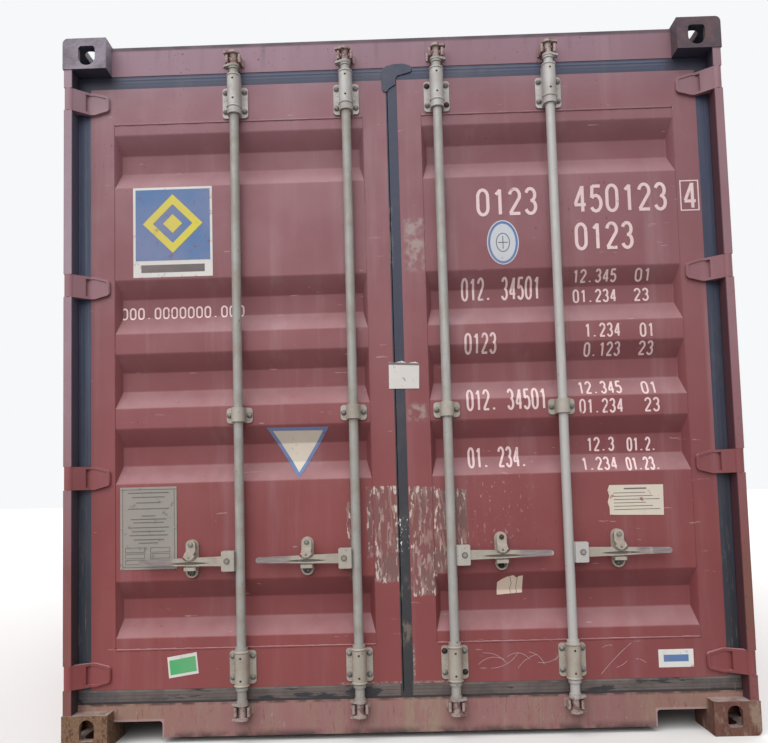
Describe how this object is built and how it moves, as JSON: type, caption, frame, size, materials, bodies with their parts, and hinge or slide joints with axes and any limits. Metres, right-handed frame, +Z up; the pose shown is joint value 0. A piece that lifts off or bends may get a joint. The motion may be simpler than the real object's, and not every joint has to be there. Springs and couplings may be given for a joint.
{
  "type": "shipping container",
  "caption": "Steel freight container with hinged end doors, turning lock rods with handles and catches, corrugated walls and roof, corner castings and fork pockets.",
  "frame": {"origin": "on the ground under the middle of the container", "axes": "+Y from the doors to the front end, +X to the right seen from the doors, +Z up"},
  "size_m": [2.438, 6.058, 2.591],
  "materials": {
    "container_paint": "weathered",
    "door_paint": "weathered",
    "castings": "rusted",
    "door_gear": "galvanised",
    "door_gasket": "matt",
    "plywood": "oiled",
    "vent_plastic": "matt"
  },
  "bodies": {
    "container": {"top_castings": "castings", "bottom_castings": "castings", "rear_post_left": "container_paint", "rear_post_right": "container_paint", "front_posts": "container_paint", "door_header": "container_paint", "door_sill": "container_paint", "cam_keepers": "door_gear", "hinge_pins": "container_paint", "top_side_rails": "container_paint", "bottom_side_rails": "container_paint", "front_top_rail": "container_paint", "front_bottom_rail": "container_paint", "side_wall_left": "container_paint", "side_wall_right": "container_paint", "front_wall": "container_paint", "roof": "container_paint", "floor": "plywood", "cross_members": "container_paint", "fork_pockets": "container_paint", "ventilators": "vent_plastic"},
    "left_door": {"left_leaf_frame": "door_paint", "left_leaf_panel": "door_paint", "left_gasket": "door_gasket", "left_hinge_blades": "door_paint", "left_rod_brackets": "door_gear", "left_handle_retainers": "door_gear"},
    "right_door": {"right_leaf_frame": "door_paint", "right_leaf_panel": "door_paint", "right_gasket": "door_gasket", "right_hinge_blades": "door_paint", "right_rod_brackets": "door_gear", "right_handle_retainers": "door_gear"},
    "rod_1": {"lock_rod_1": "door_gear", "handle_1": "door_gear"},
    "rod_2": {"lock_rod_2": "door_gear", "handle_2": "door_gear"},
    "rod_3": {"lock_rod_3": "door_gear", "handle_3": "door_gear"},
    "rod_4": {"lock_rod_4": "door_gear", "handle_4": "door_gear"},
    "catch_1": {"handle_catch_1": "door_gear"},
    "catch_2": {"handle_catch_2": "door_gear"},
    "catch_3": {"handle_catch_3": "door_gear"},
    "catch_4": {"handle_catch_4": "door_gear"}
  },
  "joints": [
    {"name": "left_door_hinge", "type": "hinge", "parent": "container", "child": "left_door", "pos_m": [-1.199, -3.009, 1.3], "axis": [0, 0, -1], "range_deg": [0, 265]},
    {"name": "right_door_hinge", "type": "hinge", "parent": "container", "child": "right_door", "pos_m": [1.199, -3.009, 1.3], "axis": [0, 0, 1], "range_deg": [0, 265]},
    {"name": "lock_rod_1_turn", "type": "hinge", "parent": "left_door", "child": "rod_1", "pos_m": [-0.588, -2.997, 1.3], "axis": [0, 0, -1], "range_deg": [-110, 0]},
    {"name": "lock_rod_2_turn", "type": "hinge", "parent": "left_door", "child": "rod_2", "pos_m": [-0.17, -2.997, 1.3], "axis": [0, 0, -1], "range_deg": [-110, 0]},
    {"name": "lock_rod_3_turn", "type": "hinge", "parent": "right_door", "child": "rod_3", "pos_m": [0.17, -2.997, 1.3], "axis": [0, 0, 1], "range_deg": [-110, 0]},
    {"name": "lock_rod_4_turn", "type": "hinge", "parent": "right_door", "child": "rod_4", "pos_m": [0.588, -2.997, 1.3], "axis": [0, 0, 1], "range_deg": [-110, 0]},
    {"name": "catch_1_swing", "type": "hinge", "parent": "left_door", "child": "catch_1", "pos_m": [-0.767, -3, 0.703], "axis": [0, -1, 0], "range_deg": [-100, 0]},
    {"name": "catch_2_swing", "type": "hinge", "parent": "left_door", "child": "catch_2", "pos_m": [-0.349, -3, 0.703], "axis": [0, -1, 0], "range_deg": [-100, 0]},
    {"name": "catch_3_swing", "type": "hinge", "parent": "right_door", "child": "catch_3", "pos_m": [0.349, -3, 0.703], "axis": [0, 1, 0], "range_deg": [-100, 0]},
    {"name": "catch_4_swing", "type": "hinge", "parent": "right_door", "child": "catch_4", "pos_m": [0.767, -3, 0.703], "axis": [0, 1, 0], "range_deg": [-100, 0]}
  ]
}
